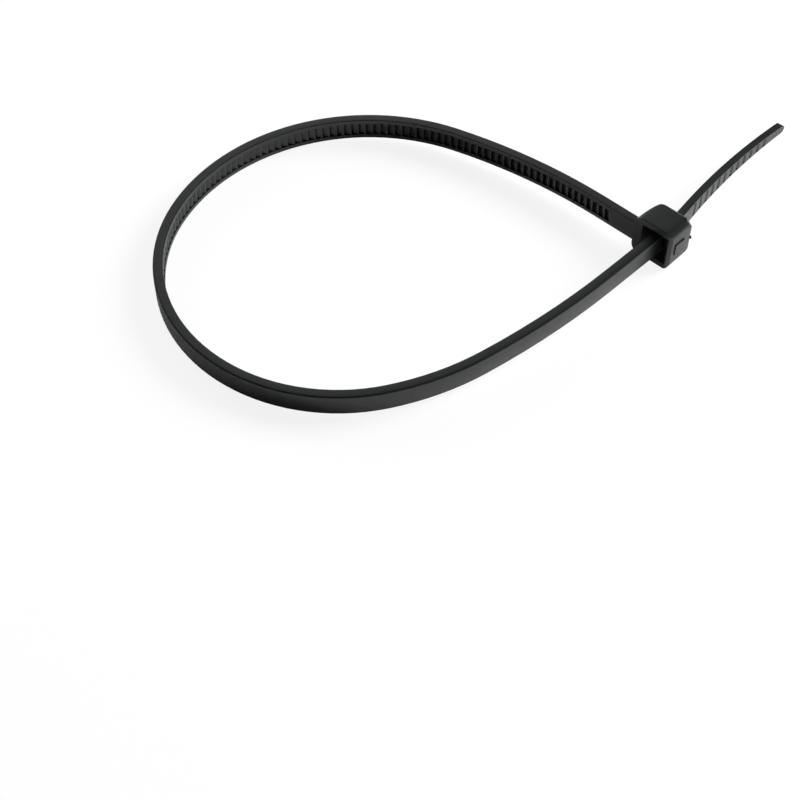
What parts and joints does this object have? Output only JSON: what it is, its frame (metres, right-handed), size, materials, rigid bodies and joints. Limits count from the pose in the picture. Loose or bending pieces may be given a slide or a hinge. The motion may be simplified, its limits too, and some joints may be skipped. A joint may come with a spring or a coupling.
{
  "type": "cable tie",
  "caption": "Black nylon cable tie closed into a loop, with toothed strap, square head with pawl, and ribbed tapering tail.",
  "frame": {"origin": "on the axis of the loop's round end, halfway across the strap's width", "axes": "+Z along the strap's width and the axis of the round end; +X from the round end towards the head; the tail leaves the head towards +X +Y"},
  "size_m": [0.0681, 0.0401, 0.005],
  "materials": {
    "nylon": "semi-gloss moulded black nylon"
  },
  "bodies": {
    "root": {"cable_tie": "nylon"}
  },
  "joints": []
}
